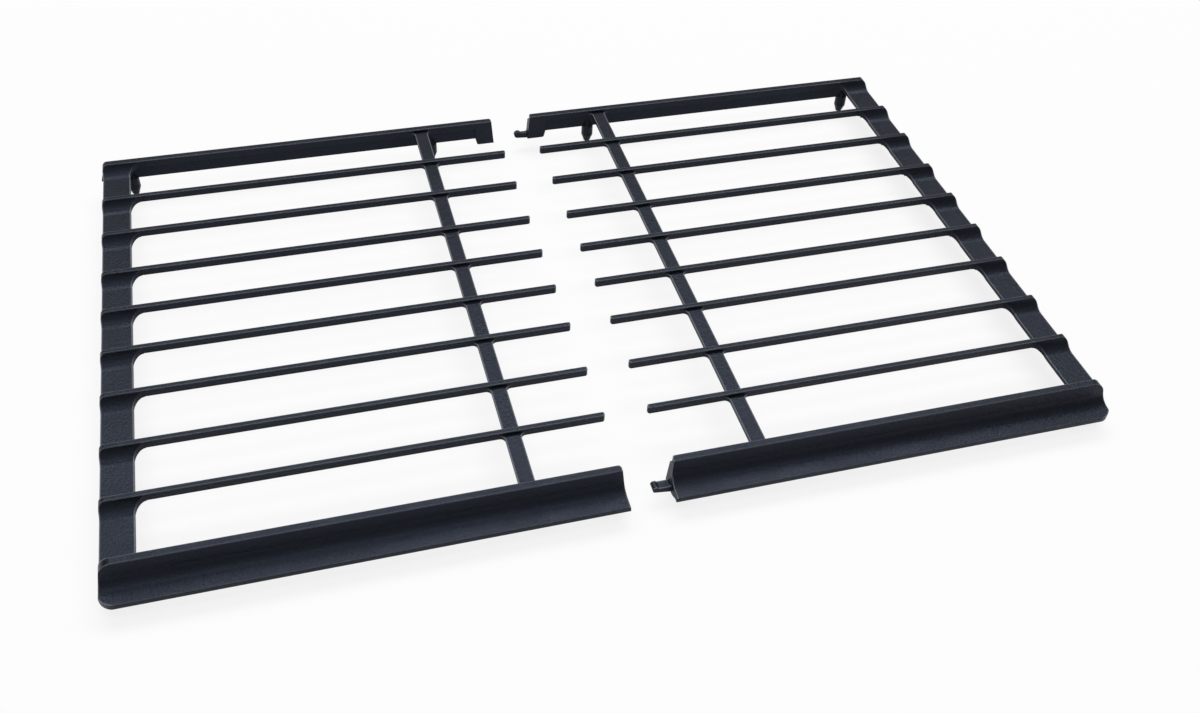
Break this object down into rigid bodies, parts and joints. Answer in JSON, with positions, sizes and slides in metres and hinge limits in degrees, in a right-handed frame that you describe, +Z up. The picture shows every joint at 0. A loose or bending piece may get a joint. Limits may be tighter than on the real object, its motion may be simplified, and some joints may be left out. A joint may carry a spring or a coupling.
{
  "type": "hob pan support",
  "caption": "Two-part cast-iron hob pan support: slim bars on a waved side strip, a cross rib, a swept front rail with a lip, and short legs; the halves hook together.",
  "frame": {"origin": "on the hob surface, under the middle of the pair of castings", "axes": "+X to the right along the bars, +Y to the back of the hob, +Z up; the leg soles are at Z = 0"},
  "size_m": [0.7358, 0.4648, 0.034],
  "materials": {
    "enamelled_iron": "satin black enamel on cast iron, fine grain"
  },
  "bodies": {
    "root": {"left_support": "enamelled_iron", "right_support": "enamelled_iron"}
  },
  "joints": []
}
